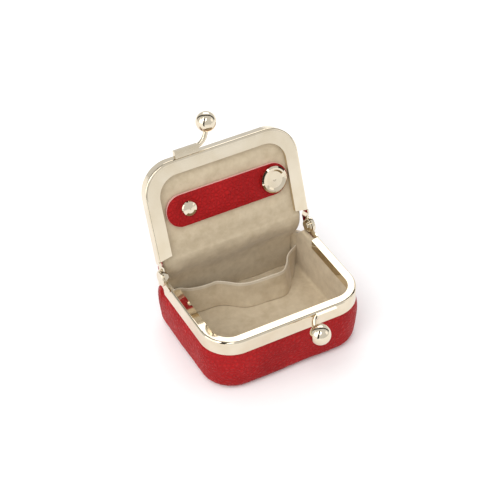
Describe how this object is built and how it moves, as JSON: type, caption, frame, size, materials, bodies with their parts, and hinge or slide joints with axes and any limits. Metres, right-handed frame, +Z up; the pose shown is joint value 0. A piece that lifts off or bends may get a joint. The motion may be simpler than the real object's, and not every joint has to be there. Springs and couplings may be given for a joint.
{
  "type": "coin purse",
  "caption": "Small rounded leather case on a metal kiss-lock frame, with a hinged padded lid, snap strap, cloth lining and pocket divider, shown open.",
  "frame": {"origin": "on the floor, at the middle of the tray's footprint", "axes": "+X to the wearer's right along the hinge, clasp towards -Y, +Z up"},
  "size_m": [0.0668, 0.0801, 0.0823],
  "materials": {
    "red_leather": "pebbled grain, semi-matte",
    "pale_gold": "polished pale-gold plating",
    "nickel": "bright",
    "suede_cloth": "short-napped suede-like cloth",
    "grey_board": "pressed paper board",
    "paper_cord": "rolled kraft paper",
    "foam": "open-cell foam"
  },
  "bodies": {
    "case": {"lower_frame": "pale_gold", "lower_paper_cord": "paper_cord", "lower_clasp_arm": "pale_gold", "lower_clasp_ball": "pale_gold", "hinge_rivet_left": "pale_gold", "hinge_rivet_right": "pale_gold", "hinge_washer_left": "pale_gold", "hinge_washer_right": "pale_gold", "base_leather": "red_leather", "base_bottom_leather": "red_leather", "base_wall_board": "grey_board", "base_floor_board": "grey_board", "base_lining": "suede_cloth", "floor_lining": "suede_cloth", "pocket_divider": "suede_cloth", "back_leather": "red_leather", "back_lining": "suede_cloth"},
    "lid": {"upper_frame": "pale_gold", "upper_paper_cord": "paper_cord", "upper_clasp_arm": "pale_gold", "upper_clasp_ball": "pale_gold", "lid_leather": "red_leather", "lid_board": "grey_board", "lid_padding": "foam", "lid_lining": "suede_cloth", "ring_strap_root": "red_leather", "strap_rivet_cap": "pale_gold", "strap_rivet_post": "pale_gold", "snap_stud": "nickel", "snap_stud_rivet": "nickel"},
    "strap": {"ring_strap": "red_leather", "snap_cap": "pale_gold", "snap_socket": "nickel"}
  },
  "joints": [
    {"name": "lid_hinge", "type": "hinge", "parent": "case", "child": "lid", "pos_m": [0, 0.0175, 0.02615], "axis": [1, 0, 0], "range_deg": [0, 109.5], "deforming": ["back_leather", "back_lining"]},
    {"name": "strap_flex", "type": "hinge", "parent": "lid", "child": "strap", "pos_m": [-0.012, 0.02482, 0.04875], "axis": [0, 0.3338, 0.9426], "range_deg": [-35, 0]}
  ]
}
